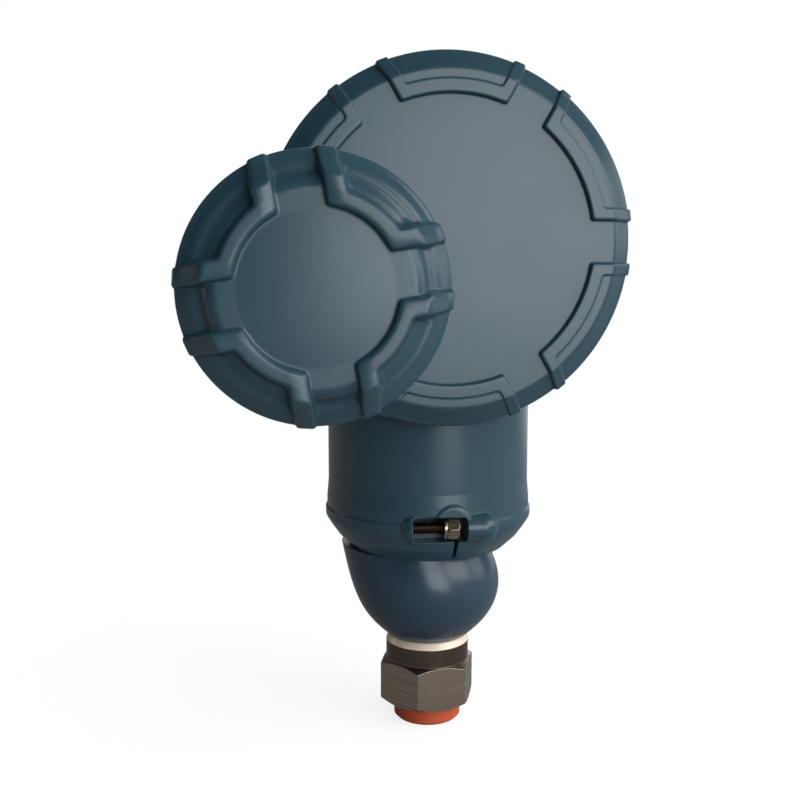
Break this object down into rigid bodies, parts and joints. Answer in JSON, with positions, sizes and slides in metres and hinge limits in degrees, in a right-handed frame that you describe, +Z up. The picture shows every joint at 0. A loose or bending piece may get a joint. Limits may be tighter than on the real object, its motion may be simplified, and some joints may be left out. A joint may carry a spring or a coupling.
{
  "type": "pressure transmitter",
  "caption": "Field pressure transmitter: round two-compartment housing with screwed covers on a clamped neck, ball-shaped sensor module, hexagon process connection.",
  "frame": {"origin": "on the process axis where the port's thread begins, 3.6 mm inside the hexagon's underside", "axes": "+Z up the process axis, -Y towards the two screwed covers, +X to the right as the covers are faced"},
  "size_m": [0.137, 0.1281, 0.2118],
  "materials": {
    "housing_paint": "semi-gloss grey-blue epoxy paint on cast aluminium",
    "module_paint": "semi-gloss dark blue paint",
    "steel": "turned stainless steel",
    "orange_plastic": "moulded orange polyethylene",
    "rubber": "matte black nitrile",
    "circuit_board": "green solder mask",
    "black_plastic": "moulded glass-filled plastic",
    "ribbon": "grey flat cable",
    "plated_steel": "plated fasteners",
    "brass": "nickel-washed brass"
  },
  "bodies": {
    "module": {"process_connection": "steel", "isolating_membrane": "steel", "module_body": "module_paint", "sensor_cell": "steel", "sensor_header": "steel", "fill_tube": "steel", "sensor_board": "circuit_board", "module_cap": "black_plastic", "module_socket": "black_plastic", "neck_seal": "rubber"},
    "turning_housing": {"block_screw_1": "plated_steel", "block_screw_2": "plated_steel", "board_screw_1": "plated_steel", "board_screw_2": "plated_steel", "board_screw_3": "plated_steel", "board_socket": "black_plastic", "clamp_screw": "plated_steel", "clamp_washer": "plated_steel", "earth_screw": "plated_steel", "earth_washer": "plated_steel", "electronics_hood": "black_plastic", "entry_plug": "steel", "housing": "housing_paint", "main_board": "circuit_board", "ribbon_cable": "ribbon", "terminal_block": "black_plastic", "terminal_screw_1": "plated_steel", "terminal_screw_2": "plated_steel", "terminal_screw_3": "plated_steel", "wire_clamp_1": "brass", "wire_clamp_2": "brass", "wire_clamp_3": "brass", "wire_gland": "rubber"},
    "plug": {"port_plug": "orange_plastic"},
    "large_seal": {"large_cover_seal": "rubber"},
    "large_cap": {"large_cover": "housing_paint"},
    "small_seal": {"small_cover_seal": "rubber"},
    "small_cap": {"small_cover": "housing_paint"}
  },
  "joints": [
    {"name": "housing_turn", "type": "hinge", "parent": "module", "child": "turning_housing", "pos_m": [0, 0, 0.064], "axis": [0, 0, 1], "range_deg": [-180, 180]},
    {"name": "large_cover_travel", "type": "slide", "parent": "turning_housing", "child": "large_seal", "axis": [0, -1, 0], "range_m": [0, 0.00901]},
    {"name": "large_cover_turn", "type": "hinge", "parent": "large_seal", "child": "large_cap", "pos_m": [0, 0, 0.1486], "axis": [0, -1, 0], "range_deg": [0, 2160]},
    {"name": "small_cover_travel", "type": "slide", "parent": "turning_housing", "child": "small_seal", "axis": [0, -1, 0], "range_m": [0, 0.01051]},
    {"name": "small_cover_turn", "type": "hinge", "parent": "small_seal", "child": "small_cap", "pos_m": [-0.0403, 0, 0.1354], "axis": [0, -1, 0], "range_deg": [0, 2520]},
    {"name": "plug_pull", "type": "slide", "parent": "module", "child": "plug", "axis": [0, 0, -1], "range_m": [0, 0.06]}
  ],
  "couplings": [
    {"joint": "large_cover_travel", "follows": "large_cover_turn", "m_per_rad": 0.00023873},
    {"joint": "small_cover_travel", "follows": "small_cover_turn", "m_per_rad": 0.00023873}
  ]
}
